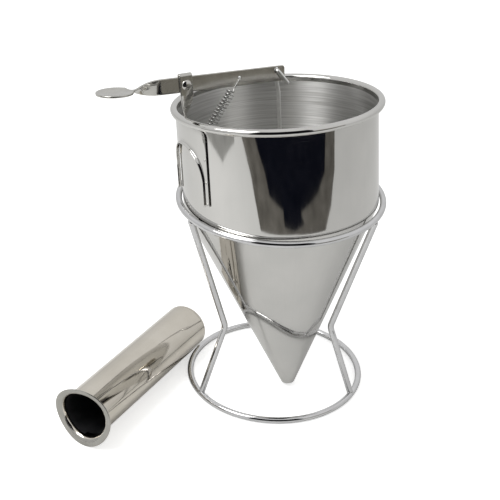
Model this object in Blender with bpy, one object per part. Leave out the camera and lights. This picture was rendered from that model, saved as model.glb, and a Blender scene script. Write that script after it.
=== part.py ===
# Pancake batter dispenser: a funnel with a lever valve leans in its wire stand, its handle laid beside it
import math

import bmesh
import bpy
from mathutils import Matrix, Vector

# Fit between separate pieces, and how far a cutter runs past what it cuts
PART_GAP = 0.0003
CUT_OVERRUN = 0.002

# Wire stand
STAND_WIRE_RADIUS = 0.0025
BASE_RING_RADIUS = 0.0703
LEG_RADIUS = 0.0025
LEG_KINK_HEIGHT = 0.0607
LEG_KINK_CLEARANCE = 0.0015
LEG_BEND_RADIUS = 0.010
LEG_OUTSET = 0.0022
LEG_TOP_DROP = 0.0012
FIRST_LEG_AZIMUTH = math.radians(-149)
LEG_NAMES = ("stand_leg_front_left", "stand_leg_front_right", "stand_leg_back")

# Funnel, with heights from the plane of the stand's upper ring
FUNNEL_LEAN = math.radians(7.1)
LEAN_AZIMUTH = math.radians(122.5)
BODY_RADIUS = 0.0751
WALL = 0.0007
RIM_HEIGHT = 0.0738
RIM_BEAD_RADIUS = 0.0028
CORNER_DROP = 0.0049
CORNER_FILLET = 0.008
TIP_DROP = 0.1627
TIP_RADIUS = 0.0054
TIP_CLEARANCE = 0.0023

# Handle bracket: an arch pressed out of a plate that is spot-welded to the wall
BRACKET_THICKNESS = 0.0010
BRACKET_RIM_CLEARANCE = 0.0005
BRACKET_CORNER = 0.006
ARCH_SIDE_MARGIN = 0.0035
ARCH_TOP_MARGIN = 0.0145
ARCH_SIDE_LENGTH = 0.0173
ARCH_LIP = 0.0011
ARCH_RISE = 0.0016
JOGGLE_WIDTH = 0.0010

# Lever, with distances along it from the pivot
LEVER_AZIMUTH = math.radians(204.5)
LEVER_TILT = math.radians(2.0)
LEVER_SWING = math.radians(9.0)
LEVER_DEPTH = 0.0115
LEVER_THICKNESS = 0.0015
LEVER_CORNER = 0.0018
LEVER_OVERHANG = 0.0064
PIVOT_INSET = 0.0024
PIVOT_RISE = 0.0248
TWIST_START = 0.016
TWIST_LENGTH = 0.022
PAD_NECK = 0.0023
PAD_RADIUS = 0.0135
PAD_DISH_DEPTH = 0.0012
PAD_RIM_WIDTH = 0.0015

# Post that carries the pivot, a strip folded over the lever
POST_THICKNESS = 0.0012
POST_WIDTH = 0.0098
POST_FOLD_RADIUS = 0.0012
REAR_EAR_DROP = 0.0052
POST_TWIST_DROP = 0.0072
POST_TWIST_LENGTH = 0.0139
POST_FOOT_LENGTH = 0.0265

# Pivot rivet
RIVET_SHANK_RADIUS = 0.0015
RIVET_HEAD_RADIUS = 0.00375
RIVET_HEAD_HEIGHT = 0.0016

# Return spring, from a hole in the lever to a staple on the wall
SPRING_WIRE_RADIUS = 0.0005
SPRING_COIL_RADIUS = 0.0031
SPRING_CURLS = 19
SPRING_REACH = 0.030
SPRING_TOP_CLEARANCE = 0.0010
SPRING_BOTTOM_LEAD = 0.0065
SPRING_HOLE_RADIUS = 0.0013
SPRING_TAIL = 0.003
STAPLE_WIRE_RADIUS = 0.0010
STAPLE_HALF_WIDTH = 0.004
STAPLE_BEND_RADIUS = 0.002
STAPLE_INSET = 0.0039
STAPLE_DROP = 0.0293

# Valve rod and the plug that closes the funnel's tip
ROD_RADIUS = 0.0015
ROD_HOLE_RISE = 0.0027
ROD_HOLE_CLEARANCE = 0.0004
ROD_SIDE_CLEARANCE = 0.0005
ROD_TAIL_REACH = 0.008
ROD_TAIL_DROP = 0.0108
ROD_KNEE_REACH = 0.0025
ROD_KNEE_DROP = 0.018
PLUG_RISE = 0.0012
PLUG_HEIGHT = 0.009
PLUG_BEVEL = 0.0012
PLUG_FLOOR = 0.002

# Handle: a tube with a flange that is curved to the funnel's wall, and a pressed end cap
TUBE_RADIUS = 0.0192
TUBE_WALL = 0.0008
HANDLE_LENGTH = 0.151
FLANGE_RADIUS = 0.0247
FLANGE_THICKNESS = 0.0010
FLANGE_FILLET = 0.003
SADDLE_LENGTH = 0.012
SADDLE_ROLL = math.radians(64.9)
HANDLE_AZIMUTH = math.radians(62.2)
HANDLE_END_AZIMUTH = math.radians(154.3)
HANDLE_STAND_GAP = 0.0006
CAP_SKIRT = 0.004
CAP_ROUNDING = 0.004
CAP_CROWN = 0.0012

# Facets
ROUND_SEGMENTS = 64
HANDLE_SEGMENTS = 48
SMALL_SEGMENTS = 20
WIRE_SIDES = 10
ARC_STEPS = 6
STRIP_COLUMNS = 6
POINTS_PER_CURL = 8
SHARP_ANGLE = math.radians(35)
MERGE_DISTANCE = 0.000001

# Sizes that follow from the ones above
CONE_SLOPE = (BODY_RADIUS - TIP_RADIUS) / (TIP_DROP - CORNER_DROP)
CONE_ANGLE = math.atan(CONE_SLOPE)
INNER_RADIUS = BODY_RADIUS - WALL
SEAT_HEIGHT = TIP_DROP * math.cos(FUNNEL_LEAN) + TIP_RADIUS * math.sin(FUNNEL_LEAN) + TIP_CLEARANCE
UPPER_RING_RADIUS = (BODY_RADIUS + STAND_WIRE_RADIUS) / math.cos(FUNNEL_LEAN) + PART_GAP
BASE_RING_HEIGHT = STAND_WIRE_RADIUS * math.cos(math.pi / WIRE_SIDES)
KINK_DROP = SEAT_HEIGHT - LEG_KINK_HEIGHT
CONE_REACH = TIP_RADIUS + (TIP_DROP - KINK_DROP) * CONE_SLOPE + KINK_DROP * math.tan(FUNNEL_LEAN)
LEG_KINK_RADIUS = CONE_REACH + LEG_RADIUS + LEG_KINK_CLEARANCE
POCKET_RADIUS = FLANGE_RADIUS + PART_GAP
BRACKET_HALF_WIDTH = POCKET_RADIUS + ARCH_SIDE_MARGIN
BRACKET_TOP = RIM_HEIGHT - RIM_BEAD_RADIUS - BRACKET_RIM_CLEARANCE
ARCH_CENTRE_HEIGHT = BRACKET_TOP - POCKET_RADIUS - ARCH_TOP_MARGIN
BRACKET_BOTTOM = ARCH_CENTRE_HEIGHT - ARCH_SIDE_LENGTH
PIVOT_REACH = INNER_RADIUS - PIVOT_INSET
PIVOT_HEIGHT = RIM_HEIGHT + PIVOT_RISE
TWIST_END = TWIST_START + TWIST_LENGTH
PAD_CENTRE = TWIST_END + PAD_NECK + math.sqrt(PAD_RADIUS ** 2 - (LEVER_DEPTH / 2) ** 2)
EAR_OFFSET = (LEVER_THICKNESS + POST_THICKNESS) / 2 + PART_GAP
PIVOT_HOLE_RADIUS = RIVET_SHANK_RADIUS + PART_GAP
STAPLE_REACH = INNER_RADIUS - STAPLE_INSET
STAPLE_HEIGHT = RIM_HEIGHT - STAPLE_DROP
ROD_HOLE_HEIGHT = PIVOT_HEIGHT - PIVOT_REACH * math.tan(LEVER_TILT) + ROD_HOLE_RISE
ROD_HOLE_RADIUS = ROD_RADIUS + ROD_HOLE_CLEARANCE
ROD_BEND_RADIUS = ROD_RADIUS + ROD_SIDE_CLEARANCE
ROD_OFFSET = LEVER_THICKNESS / 2 + ROD_BEND_RADIUS
SPRING_OFFSET = LEVER_THICKNESS / 2 + PART_GAP + SPRING_WIRE_RADIUS

X_AXIS = Vector((1, 0, 0))
Y_AXIS = Vector((0, 1, 0))
Z_AXIS = Vector((0, 0, 1))


def steel(name, colour, roughness):
    material = bpy.data.materials.new(name)
    material.use_nodes = True
    shader = material.node_tree.nodes["Principled BSDF"]
    shader.inputs["Base Color"].default_value = (*colour, 1)
    shader.inputs["Metallic"].default_value = 1
    shader.inputs["Roughness"].default_value = roughness
    return material


def add_empty(name, parent, location, rotation=Matrix.Identity(3)):
    empty = bpy.data.objects.new(name, None)
    empty.parent = parent
    empty.matrix_local = Matrix.Translation(location) @ rotation.to_4x4()
    bpy.context.collection.objects.link(empty)
    return empty


def add_solid(name, bm, material, parent, location=(0, 0, 0)):
    bmesh.ops.recalc_face_normals(bm, faces=bm.faces)
    mesh = bpy.data.meshes.new(name)
    bm.to_mesh(mesh)
    bm.free()
    mesh.shade_smooth()
    mesh.set_sharp_from_angle(angle=SHARP_ANGLE)
    solid = bpy.data.objects.new(name, mesh)
    solid.parent = parent
    solid.location = location
    if material:
        mesh.materials.append(material)
    bpy.context.collection.objects.link(solid)
    return solid


def add_wire(name, path, radius, resolution, material, parent, location=(0, 0, 0)):
    curve = bpy.data.curves.new(name, "CURVE")
    curve.dimensions = "3D"
    curve.bevel_depth = radius
    curve.bevel_resolution = resolution
    curve.use_fill_caps = True
    curve.materials.append(material)
    spline = curve.splines.new("POLY")
    spline.points.add(len(path) - 1)
    for point, place in zip(spline.points, path):
        point.co = (*place, 1)
    wire = bpy.data.objects.new(name, curve)
    wire.parent = parent
    wire.location = location
    bpy.context.collection.objects.link(wire)
    return wire


def cut(target, cutter):
    cutter.hide_render = True
    cutter.display_type = "WIRE"
    modifier = target.modifiers.new(cutter.name, "BOOLEAN")
    modifier.operation = "DIFFERENCE"
    modifier.object = cutter


def add_drill(name, radius, parent, place):
    # A round cutter across the strips, along the parent's Y axis
    bm = bmesh.new()
    turn = Matrix.Rotation(math.pi / 2, 4, "X")
    bmesh.ops.create_cone(bm, cap_ends=True, segments=SMALL_SEGMENTS, radius1=radius, radius2=radius,
                          depth=2 * (EAR_OFFSET + POST_THICKNESS + CUT_OVERRUN), matrix=turn)
    return add_solid(name, bm, None, parent, place)


def loft(bm, rings):
    # Join rings of equal count, one after the other, and close both ends
    rows = [[bm.verts.new(point) for point in ring] for ring in rings]
    count = len(rows[0])
    for row, following in zip(rows, rows[1:]):
        for k in range(count):
            after = (k + 1) % count
            bm.faces.new((row[k], row[after], following[after], following[k]))
    bm.faces.new(rows[0])
    bm.faces.new(rows[-1])


def spin(bm, outline, segments, closed=True):
    # Turn an outline of radius and height about Z; an open one starts and ends on the axis
    verts = [bm.verts.new((radius, 0, height)) for radius, height in outline]
    edges = [bm.edges.new(pair) for pair in zip(verts, verts[1:])]
    if closed:
        edges.append(bm.edges.new((verts[-1], verts[0])))
    bmesh.ops.spin(bm, geom=verts + edges, cent=(0, 0, 0), axis=Z_AXIS, angle=math.tau,
                   steps=segments, use_merge=True)
    bmesh.ops.remove_doubles(bm, verts=bm.verts, dist=MERGE_DISTANCE)


def arc(centre_radius, centre_height, radius, start, end, steps=ARC_STEPS):
    # Points of a round stretch in an outline, with both of its ends
    points = []
    for step in range(steps + 1):
        angle = start + (end - start) * step / steps
        points.append((centre_radius + radius * math.cos(angle), centre_height + radius * math.sin(angle)))
    return points


def rounded_path(corners, radius, steps=ARC_STEPS):
    # Replace each inner corner of a bent wire by an arc
    path = [corners[0]]
    for before, corner, after in zip(corners, corners[1:], corners[2:]):
        back = (before - corner).normalized()
        onward = (after - corner).normalized()
        half = back.angle(onward) / 2
        centre = corner + (back + onward).normalized() * radius / math.sin(half)
        start = corner + back * radius / math.tan(half) - centre
        sweep = math.pi - 2 * half
        for step in range(steps + 1):
            turn = Matrix.Rotation(sweep * step / steps, 3, back.cross(-onward).normalized())
            path.append(centre + turn @ start)
    path.append(corners[-1])
    return path


def ease(share):
    return share * share * (3 - 2 * share)


def strip_ring(centre, across, normal, half_width, thickness):
    # One section of a sheet strip, up its front face and down its back face
    ring = []
    for side in (1, -1):
        for column in range(STRIP_COLUMNS + 1):
            share = side * (2 * column / STRIP_COLUMNS - 1)
            ring.append(centre + across * half_width * share + normal * side * thickness / 2)
    return ring


def ring_solid(name, radius, height, wire_radius, material, parent):
    bm = bmesh.new()
    half_side = math.pi / WIRE_SIDES
    section = arc(radius, 0, wire_radius, half_side - math.pi / 2, half_side + 3 * math.pi / 2, WIRE_SIDES)
    spin(bm, section[:-1], ROUND_SEGMENTS)
    return add_solid(name, bm, material, parent, (0, 0, height))


def build_stand(chrome, root):
    ring_solid("stand_base_ring", BASE_RING_RADIUS, BASE_RING_HEIGHT, STAND_WIRE_RADIUS, chrome, root)
    ring_solid("stand_upper_ring", UPPER_RING_RADIUS, SEAT_HEIGHT, STAND_WIRE_RADIUS, chrome, root)
    coped = STAND_WIRE_RADIUS + PART_GAP
    base_cope = ring_solid("base_cope", BASE_RING_RADIUS, BASE_RING_HEIGHT, coped, None, root)
    upper_cope = ring_solid("upper_cope", UPPER_RING_RADIUS, SEAT_HEIGHT, coped, None, root)
    corners = [
        Vector((BASE_RING_RADIUS, 0, BASE_RING_HEIGHT)),
        Vector((LEG_KINK_RADIUS, 0, LEG_KINK_HEIGHT)),
        Vector((UPPER_RING_RADIUS + LEG_OUTSET, 0, SEAT_HEIGHT - LEG_TOP_DROP)),
    ]
    path = rounded_path(corners, LEG_BEND_RADIUS)
    for index, name in enumerate(LEG_NAMES):
        bm = bmesh.new()
        rings = []
        for k, point in enumerate(path):
            tangent = (path[min(k + 1, len(path) - 1)] - path[max(k - 1, 0)]).normalized()
            side = tangent.cross(Y_AXIS)
            ring = []
            for step in range(WIRE_SIDES):
                angle = math.tau * step / WIRE_SIDES
                ring.append(point + (side * math.cos(angle) + Y_AXIS * math.sin(angle)) * LEG_RADIUS)
            rings.append(ring)
        loft(bm, rings)
        leg = add_solid(name, bm, chrome, root)
        leg.rotation_euler.z = FIRST_LEG_AZIMUTH + math.tau * index / len(LEG_NAMES)
        cut(leg, base_cope)
        cut(leg, upper_cope)


def body_outline():
    # The wall's outer face up to the rolled rim, then the inner face down to the tip
    shift = CORNER_FILLET * math.tan(CONE_ANGLE / 2)
    outer_bottom = -CORNER_DROP + shift
    inner_fillet = CORNER_FILLET - WALL
    fillet_radius = BODY_RADIUS - CORNER_FILLET
    inner_tip = TIP_RADIUS - WALL / math.cos(CONE_ANGLE)
    bead_centre = INNER_RADIUS + RIM_BEAD_RADIUS
    join = math.acos((bead_centre - BODY_RADIUS) / RIM_BEAD_RADIUS)
    outline = [(inner_tip, -TIP_DROP), (TIP_RADIUS, -TIP_DROP)]
    outline += arc(fillet_radius, outer_bottom, CORNER_FILLET, -CONE_ANGLE, 0)
    outline += arc(bead_centre, RIM_HEIGHT, RIM_BEAD_RADIUS, join - math.pi, math.pi, 2 * ARC_STEPS)
    outline += arc(fillet_radius, outer_bottom, inner_fillet, 0, -CONE_ANGLE)
    return outline


def build_body(material, seat):
    bm = bmesh.new()
    spin(bm, body_outline(), ROUND_SEGMENTS)
    add_solid("funnel_body", bm, material, seat)


def plate_reach(angle):
    # Distance from the arch's centre to the plate's outer edge, with rounded upper corners
    across = abs(math.cos(angle))
    up = math.sin(angle)
    height = BRACKET_TOP - ARCH_CENTRE_HEIGHT
    corner = Vector((BRACKET_HALF_WIDTH - BRACKET_CORNER, height - BRACKET_CORNER))
    if across * height > up * BRACKET_HALF_WIDTH:
        reach = BRACKET_HALF_WIDTH / across
    else:
        reach = height / up
    if reach * across > corner.x and reach * up > corner.y:
        along = Vector((across, up)).dot(corner)
        reach = along + math.sqrt(along ** 2 - corner.length_squared + BRACKET_CORNER ** 2)
    return reach


def on_wall(sideways, height, lift):
    angle = sideways / BODY_RADIUS
    radius = BODY_RADIUS + PART_GAP + lift
    return Vector((radius * math.cos(angle), radius * math.sin(angle), height))


def bracket_ring(direction, height, outer_reach):
    # One section of the bracket, from the arch's lip over the joggle to the plate's edge
    lip = POCKET_RADIUS - ARCH_LIP
    foot = POCKET_RADIUS + JOGGLE_WIDTH
    stops = [
        (lip, ARCH_RISE),
        (POCKET_RADIUS, ARCH_RISE),
        (foot, 0),
        (foot + (outer_reach - foot) / 2, 0),
        (outer_reach, 0),
    ]
    front = []
    back = []
    for reach, lift in stops:
        sideways = reach * math.cos(direction)
        up = height + reach * math.sin(direction)
        front.append(on_wall(sideways, up, lift + BRACKET_THICKNESS))
        back.append(on_wall(sideways, up, lift))
    return front + back[::-1]


def build_bracket(material, frame):
    bm = bmesh.new()
    steps = 4 * ARC_STEPS
    rings = [bracket_ring(0, BRACKET_BOTTOM, BRACKET_HALF_WIDTH)]
    for step in range(steps + 1):
        angle = math.pi * step / steps
        rings.append(bracket_ring(angle, ARCH_CENTRE_HEIGHT, plate_reach(angle)))
    rings.append(bracket_ring(math.pi, BRACKET_BOTTOM, BRACKET_HALF_WIDTH))
    loft(bm, rings)
    add_solid("handle_bracket", bm, material, frame)


def bridge_height():
    # Top of the post's fold, clear of the lever's upper edge when the pad is pressed down
    edge = LEVER_DEPTH / 2 + POST_WIDTH / 2 * math.sin(LEVER_SWING)
    return PIVOT_HEIGHT + edge / math.cos(LEVER_SWING) + PART_GAP + POST_THICKNESS / 2


def build_post(material, frame):
    top = bridge_height()
    path = rounded_path([
        Vector((PIVOT_REACH, -EAR_OFFSET, PIVOT_HEIGHT - REAR_EAR_DROP)),
        Vector((PIVOT_REACH, -EAR_OFFSET, top)),
        Vector((PIVOT_REACH, EAR_OFFSET, top)),
        Vector((PIVOT_REACH, EAR_OFFSET, PIVOT_HEIGHT - POST_TWIST_DROP)),
    ], POST_FOLD_RADIUS)
    rings = []
    for k, point in enumerate(path):
        tangent = (path[min(k + 1, len(path) - 1)] - path[max(k - 1, 0)]).normalized()
        rings.append(strip_ring(point, X_AXIS, tangent.cross(X_AXIS), POST_WIDTH / 2, POST_THICKNESS))
    wall_face = math.sqrt(INNER_RADIUS ** 2 - (POST_WIDTH / 2) ** 2)
    foot_reach = wall_face - PART_GAP - POST_THICKNESS / 2
    twist_top = path[-1]
    twist_bottom = Vector((foot_reach, 0, twist_top.z - POST_TWIST_LENGTH))
    for step in range(1, 2 * ARC_STEPS + 1):
        share = step / (2 * ARC_STEPS)
        point = twist_top.lerp(twist_bottom, ease(share))
        point.z = twist_top.z + (twist_bottom.z - twist_top.z) * share
        turn = Matrix.Rotation(ease(share) * math.pi / 2, 3, "Z")
        across = turn @ X_AXIS
        rings.append(strip_ring(point, across, across.cross(Z_AXIS), POST_WIDTH / 2, POST_THICKNESS))
    foot = Vector((foot_reach, 0, twist_bottom.z - POST_FOOT_LENGTH))
    rings.append(strip_ring(foot, Y_AXIS, Y_AXIS.cross(Z_AXIS), POST_WIDTH / 2, POST_THICKNESS))
    bm = bmesh.new()
    loft(bm, rings)
    post = add_solid("lever_post", bm, material, frame)
    cut(post, add_drill("post_drill", PIVOT_HOLE_RADIUS, frame, (PIVOT_REACH, 0, PIVOT_HEIGHT)))


def build_rivet(material, pivot):
    # A domed head outside each ear, on one shank
    head_base = EAR_OFFSET + POST_THICKNESS / 2 + PART_GAP
    head = []
    for step in range(ARC_STEPS + 1):
        angle = math.pi / 2 * step / ARC_STEPS
        head.append((RIVET_HEAD_RADIUS * math.cos(angle), head_base + RIVET_HEAD_HEIGHT * math.sin(angle)))
    head[-1] = (0, head_base + RIVET_HEAD_HEIGHT)
    upper = [(RIVET_SHANK_RADIUS, head_base)] + head
    lower = [(radius, -height) for radius, height in upper[::-1]]
    bm = bmesh.new()
    spin(bm, lower + upper, SMALL_SEGMENTS, closed=False)
    bmesh.ops.rotate(bm, verts=bm.verts, cent=(0, 0, 0), matrix=Matrix.Rotation(math.pi / 2, 3, "X"))
    add_solid("pivot_rivet", bm, material, pivot)


def lever_rings():
    # A strip on edge, a quarter twist, then the round thumb pad
    half = LEVER_DEPTH / 2
    inner_end = -PIVOT_REACH - LEVER_OVERHANG
    rings = []
    for x, height in arc(inner_end + LEVER_CORNER, half - LEVER_CORNER, LEVER_CORNER, math.pi, math.pi / 2):
        rings.append(strip_ring(Vector((x, 0, 0)), Z_AXIS, Y_AXIS, height, LEVER_THICKNESS))
    twist_steps = 2 * ARC_STEPS
    for step in range(twist_steps + 1):
        share = step / twist_steps
        turn = Matrix.Rotation(-ease(share) * math.pi / 2, 3, "X")
        centre = Vector((TWIST_START + (TWIST_END - TWIST_START) * share, 0, 0))
        rings.append(strip_ring(centre, turn @ Z_AXIS, turn @ Y_AXIS, half, LEVER_THICKNESS))
    pad_steps = 4 * ARC_STEPS
    first_angle = math.asin(half / PAD_RADIUS)
    for step in range(pad_steps):
        angle = first_angle + (math.pi - first_angle) * step / pad_steps
        centre = Vector((PAD_CENTRE - PAD_RADIUS * math.cos(angle), 0, 0))
        rings.append(strip_ring(centre, Y_AXIS, -Z_AXIS, PAD_RADIUS * math.sin(angle), LEVER_THICKNESS))
    return rings


def build_lever(material, pivot, frame):
    dish_radius = PAD_RADIUS - PAD_RIM_WIDTH
    rings = lever_rings()
    for ring in rings:
        for point in ring:
            away = math.hypot(point.x - PAD_CENTRE, point.y) / dish_radius
            if point.x > TWIST_END and away < 1:
                point.z -= PAD_DISH_DEPTH * (1 - away ** 2)
    bm = bmesh.new()
    loft(bm, rings)
    lever = add_solid("lever", bm, material, pivot)
    cut(lever, add_drill("lever_pivot_drill", PIVOT_HOLE_RADIUS, frame, (PIVOT_REACH, 0, PIVOT_HEIGHT)))
    cut(lever, add_drill("rod_drill", ROD_HOLE_RADIUS, frame, (0, 0, ROD_HOLE_HEIGHT)))
    cut(lever, add_drill("spring_drill", SPRING_HOLE_RADIUS, frame, spring_hole()))


def spring_hole():
    # On the middle line of the tilted strip, in the funnel's own frame
    drop = (PIVOT_REACH - SPRING_REACH) * math.tan(LEVER_TILT)
    return Vector((SPRING_REACH, 0, PIVOT_HEIGHT - drop))


def spring_path():
    # A hook through the lever's hole, the curls, and a hook round the staple
    hole = spring_hole()
    bar = Vector((STAPLE_REACH, 0, STAPLE_HEIGHT))
    down = (bar - hole).normalized()
    side = down.cross(Y_AXIS)
    length = (bar - hole).length
    hook = STAPLE_WIRE_RADIUS + PART_GAP + SPRING_WIRE_RADIUS
    below_lever = LEVER_DEPTH / 2 / math.cos(LEVER_TILT) + SPRING_TOP_CLEARANCE
    top_lead = (below_lever + (SPRING_COIL_RADIUS + SPRING_WIRE_RADIUS) * side.z) / -down.z
    back = -Y_AXIS * SPRING_OFFSET
    front = Y_AXIS * SPRING_OFFSET
    path = rounded_path([
        hole + back + down * SPRING_TAIL,
        hole + back,
        hole + front,
        hole + front + down * (top_lead - SPRING_COIL_RADIUS),
    ], SPRING_OFFSET - PART_GAP, POINTS_PER_CURL // 2)
    coil_length = length - top_lead - SPRING_BOTTOM_LEAD
    steps = SPRING_CURLS * POINTS_PER_CURL + POINTS_PER_CURL // 4
    for step in range(steps + 1):
        angle = math.tau * step / POINTS_PER_CURL
        turn = Y_AXIS * math.cos(angle) + side * math.sin(angle)
        along = top_lead + coil_length * step / steps
        path.append(hole + down * along + turn * SPRING_COIL_RADIUS)
    for step in range(POINTS_PER_CURL // 2 + 1):
        angle = math.pi / 2 - math.pi * step / (POINTS_PER_CURL // 2)
        path.append(bar + (down * math.cos(angle) + side * math.sin(angle)) * hook)
    path.append(path[-1] - down * SPRING_WIRE_RADIUS * 2)
    return path


def least_self_gap(path, wire_radius, skipped):
    # Between points that are at least a given number of steps apart along the wire
    least = math.inf
    for k, point in enumerate(path):
        for other in path[k + skipped:]:
            least = min(least, (point - other).length)
    return least - 2 * wire_radius


def build_spring(material, frame):
    path = spring_path()
    add_wire("return_spring", path, SPRING_WIRE_RADIUS, 1, material, frame)
    gap = least_self_gap(path, SPRING_WIRE_RADIUS, POINTS_PER_CURL // 2)
    print("return_spring least gap to itself, mm:", round(gap * 1000, 2))


def build_staple(material, frame):
    outer_side = STAPLE_HALF_WIDTH + STAPLE_WIRE_RADIUS
    foot = math.sqrt(INNER_RADIUS ** 2 - outer_side ** 2) - PART_GAP
    path = rounded_path([
        Vector((foot, -STAPLE_HALF_WIDTH, STAPLE_HEIGHT)),
        Vector((STAPLE_REACH, -STAPLE_HALF_WIDTH, STAPLE_HEIGHT)),
        Vector((STAPLE_REACH, STAPLE_HALF_WIDTH, STAPLE_HEIGHT)),
        Vector((foot, STAPLE_HALF_WIDTH, STAPLE_HEIGHT)),
    ], STAPLE_BEND_RADIUS)
    add_wire("spring_anchor", path, STAPLE_WIRE_RADIUS, 2, material, frame)


def build_rod(material, hook):
    # From the bent tail in front, through the lever, down behind it to the plug
    plug_floor = PLUG_RISE + PLUG_FLOOR - TIP_DROP
    path = rounded_path([
        Vector((-ROD_TAIL_REACH, ROD_OFFSET, -ROD_TAIL_DROP)),
        Vector((0, ROD_OFFSET, 0)),
        Vector((0, -ROD_OFFSET, 0)),
        Vector((-ROD_KNEE_REACH, -ROD_OFFSET, -ROD_KNEE_DROP)),
        Vector((0, 0, plug_floor + PLUG_HEIGHT - ROD_HOLE_HEIGHT)),
        Vector((0, 0, plug_floor + PART_GAP - ROD_HOLE_HEIGHT)),
    ], ROD_BEND_RADIUS)
    add_wire("plunger_rod", path, ROD_RADIUS, 2, material, hook)


def build_plug(material, hook):
    # A cone that fits the inside of the tip, bored for the rod
    def cone_radius(rise):
        thickness = (WALL + PART_GAP) / math.cos(CONE_ANGLE)
        return TIP_RADIUS - thickness + rise * CONE_SLOPE
    bottom = PLUG_RISE
    top = PLUG_RISE + PLUG_HEIGHT
    bore = ROD_RADIUS + PART_GAP
    outline = [
        (0, bottom),
        (cone_radius(bottom) - PLUG_BEVEL / 2, bottom),
        (cone_radius(bottom + PLUG_BEVEL), bottom + PLUG_BEVEL),
        (cone_radius(top - PLUG_BEVEL), top - PLUG_BEVEL),
        (cone_radius(top) - 2 * PLUG_BEVEL, top),
        (bore, top),
        (bore, bottom + PLUG_FLOOR),
        (0, bottom + PLUG_FLOOR),
    ]
    bm = bmesh.new()
    spin(bm, outline, SMALL_SEGMENTS, closed=False)
    add_solid("valve_plug", bm, material, hook, (0, 0, -TIP_DROP - ROD_HOLE_HEIGHT))


def tube_outline():
    # Flange face, fillet and outer wall, then the inner wall and the flared mouth
    bore = TUBE_RADIUS - TUBE_WALL
    flare = FLANGE_FILLET + TUBE_WALL
    fillet_radius = TUBE_RADIUS + FLANGE_FILLET
    fillet_height = FLANGE_THICKNESS + FLANGE_FILLET
    middle = HANDLE_LENGTH / 2
    outline = [(FLANGE_RADIUS, 0), (FLANGE_RADIUS, FLANGE_THICKNESS)]
    outline += arc(fillet_radius, fillet_height, FLANGE_FILLET, -math.pi / 2, -math.pi)
    outline += [(TUBE_RADIUS, SADDLE_LENGTH), (TUBE_RADIUS, middle), (TUBE_RADIUS, HANDLE_LENGTH)]
    outline += [(bore, HANDLE_LENGTH), (bore, middle), (bore, SADDLE_LENGTH)]
    outline += arc(bore + flare, flare, flare, math.pi, 3 * math.pi / 2)
    return outline


def saddle(verts):
    # Curve the flange to the funnel's wall, fading out along the tube
    for vert in verts:
        if vert.co.z < SADDLE_LENGTH:
            fade = 1 - ease(max(0, vert.co.z - FLANGE_THICKNESS) / (SADDLE_LENGTH - FLANGE_THICKNESS))
            sideways = vert.co.x * math.cos(SADDLE_ROLL) + vert.co.y * math.sin(SADDLE_ROLL)
            vert.co.z -= fade * sideways ** 2 / (2 * BODY_RADIUS)


def end_cap_outline():
    skirt = TUBE_RADIUS - TUBE_WALL - PART_GAP
    inner = skirt - TUBE_WALL
    edge = TUBE_RADIUS - CAP_ROUNDING
    outline = [(0, TUBE_WALL), (inner, TUBE_WALL), (inner, -CAP_SKIRT), (skirt, -CAP_SKIRT), (skirt, PART_GAP)]
    outline += arc(edge, PART_GAP, CAP_ROUNDING, 0, math.pi / 2)
    outline += [(0, PART_GAP + CAP_ROUNDING + CAP_CROWN)]
    return outline


def build_handle(material, root):
    bm = bmesh.new()
    spin(bm, tube_outline(), HANDLE_SEGMENTS)
    saddle(bm.verts)
    lay_down = Matrix(((0, 0, 1), (1, 0, 0), (0, 1, 0)))
    bmesh.ops.transform(bm, verts=bm.verts, matrix=lay_down.to_4x4())
    lowest = min((vert.co.copy() for vert in bm.verts), key=lambda place: place.z)
    slope = math.atan((-TUBE_RADIUS - lowest.z) / (HANDLE_LENGTH - lowest.x))
    dip = Matrix.Rotation(slope, 3, "Y")
    lift = -min((dip @ vert.co).z for vert in bm.verts)
    turn = Matrix.Rotation(HANDLE_AZIMUTH, 3, "Z") @ dip
    apart = TUBE_RADIUS + STAND_WIRE_RADIUS + HANDLE_STAND_GAP
    from_axis = BASE_RING_RADIUS + math.sqrt(apart ** 2 - (TUBE_RADIUS - STAND_WIRE_RADIUS) ** 2)
    end = Matrix.Rotation(HANDLE_END_AZIMUTH, 3, "Z") @ Vector((from_axis, 0, 0))
    place = end - turn @ Vector((HANDLE_LENGTH, 0, 0))
    rest = add_empty("handle_rest", root, (place.x, place.y, lift), turn)
    add_solid("handle_tube", bm, material, rest)
    bm = bmesh.new()
    spin(bm, end_cap_outline(), HANDLE_SEGMENTS, closed=False)
    bmesh.ops.transform(bm, verts=bm.verts, matrix=lay_down.to_4x4())
    add_solid("handle_end_cap", bm, material, rest, (HANDLE_LENGTH, 0, 0))


def centre_on_base(root):
    # Put the origin under the middle of the whole part, on the table
    bpy.context.view_layer.update()
    depsgraph = bpy.context.evaluated_depsgraph_get()
    places = []
    for item in bpy.context.scene.objects:
        if item.type != "EMPTY" and not item.hide_render:
            shape = item.evaluated_get(depsgraph)
            places += [item.matrix_world @ vert.co for vert in shape.to_mesh().vertices]
            shape.to_mesh_clear()
    low = Vector([min(place[axis] for place in places) for axis in range(3)])
    high = Vector([max(place[axis] for place in places) for axis in range(3)])
    root.location = -Vector(((low.x + high.x) / 2, (low.y + high.y) / 2, low.z))


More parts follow.
